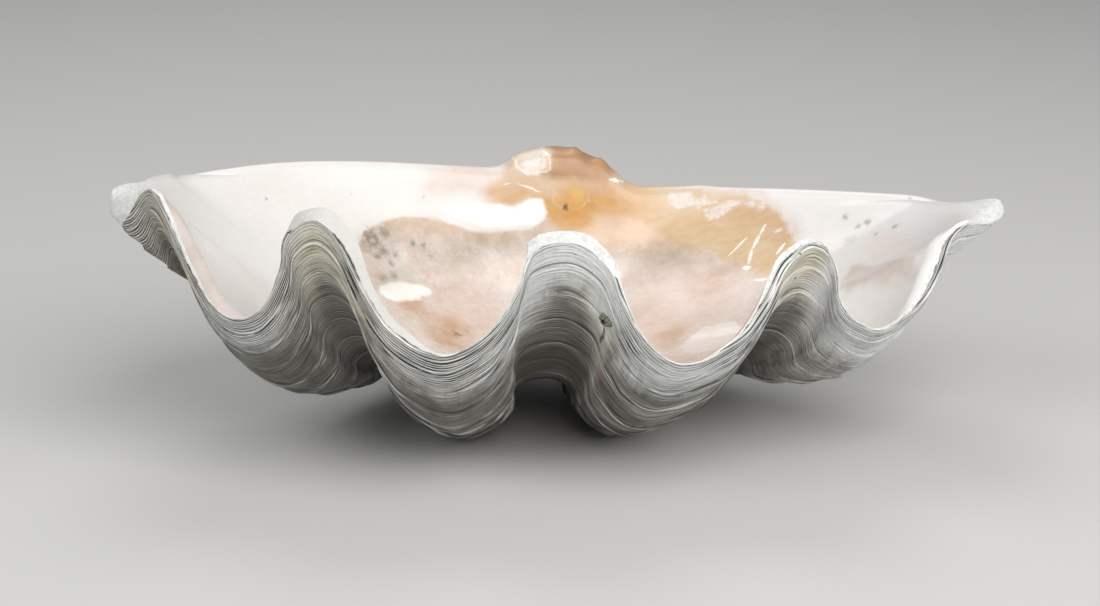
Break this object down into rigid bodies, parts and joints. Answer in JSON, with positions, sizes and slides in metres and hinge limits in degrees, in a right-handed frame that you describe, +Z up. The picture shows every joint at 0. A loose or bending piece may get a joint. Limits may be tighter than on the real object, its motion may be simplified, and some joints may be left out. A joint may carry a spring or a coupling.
{
  "type": "giant clam shell valve",
  "caption": "One valve of a giant clam, a deep bowl with a wavy ribbed margin and growth ledges, lying hollow side up.",
  "frame": {"origin": "middle of the bounding box's floor, on the surface that the valve rests on", "axes": "+Z up out of the hollow, +X along the length from the left corner to the right corner, -Y towards the wavy front margin, the hinge at the back"},
  "size_m": [0.7366, 0.4254, 0.2443],
  "materials": {
    "shell": "chalky and ridged outside, smooth porcelain-like inside"
  },
  "bodies": {
    "root": {"clam_valve": "shell"}
  },
  "joints": []
}
